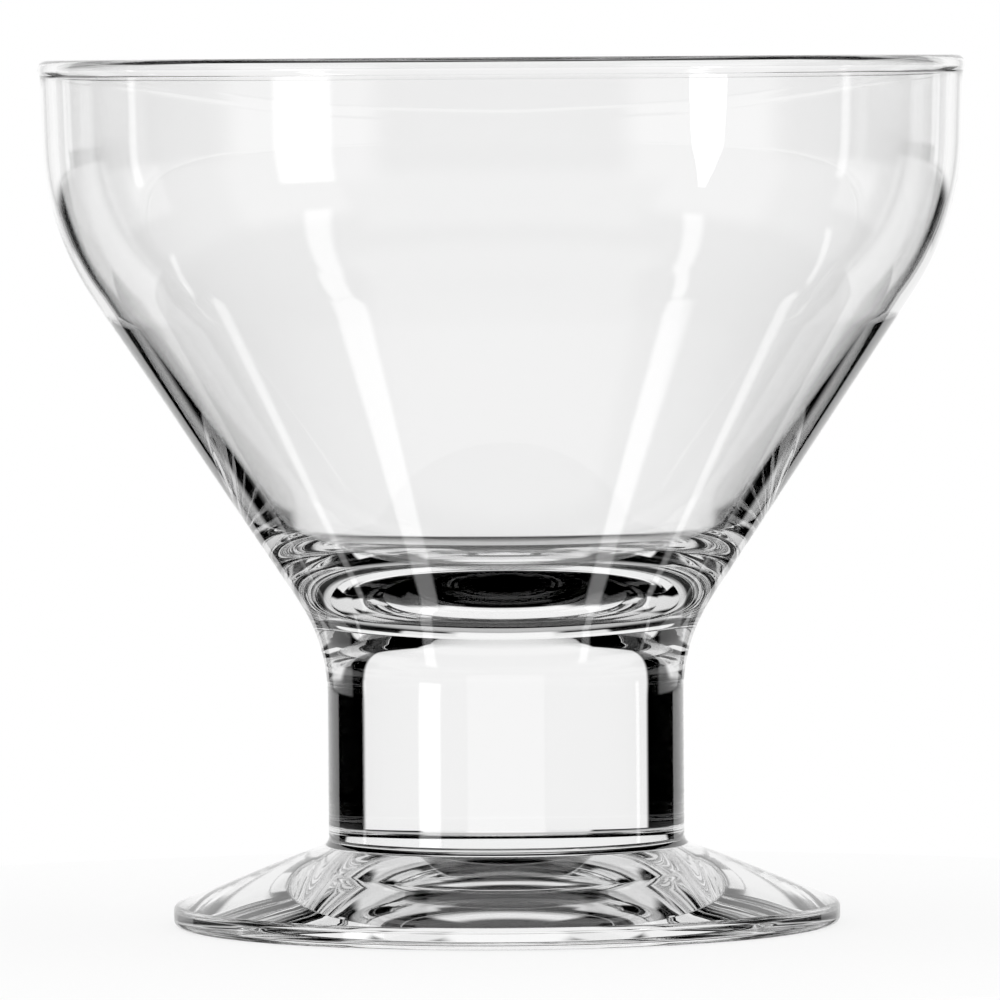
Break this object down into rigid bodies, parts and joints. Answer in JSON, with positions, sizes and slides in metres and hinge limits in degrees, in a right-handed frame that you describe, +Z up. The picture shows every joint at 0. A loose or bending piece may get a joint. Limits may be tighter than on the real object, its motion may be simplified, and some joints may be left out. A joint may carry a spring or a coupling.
{
  "type": "sundae glass",
  "caption": "Footed sundae glass of clear glass: upright rim, rounded shoulder, conical bowl, short solid stem and a round sloping foot. Holds an ice-cream dessert.",
  "frame": {"origin": "centre of the circle that the foot stands on", "axes": "+Z up along the axis of the glass, towards the rim"},
  "size_m": [0.0952, 0.0952, 0.089],
  "materials": {
    "glass": "clear, fire polished"
  },
  "bodies": {
    "root": {"bowl": "glass", "stem": "glass", "foot": "glass"}
  },
  "joints": []
}
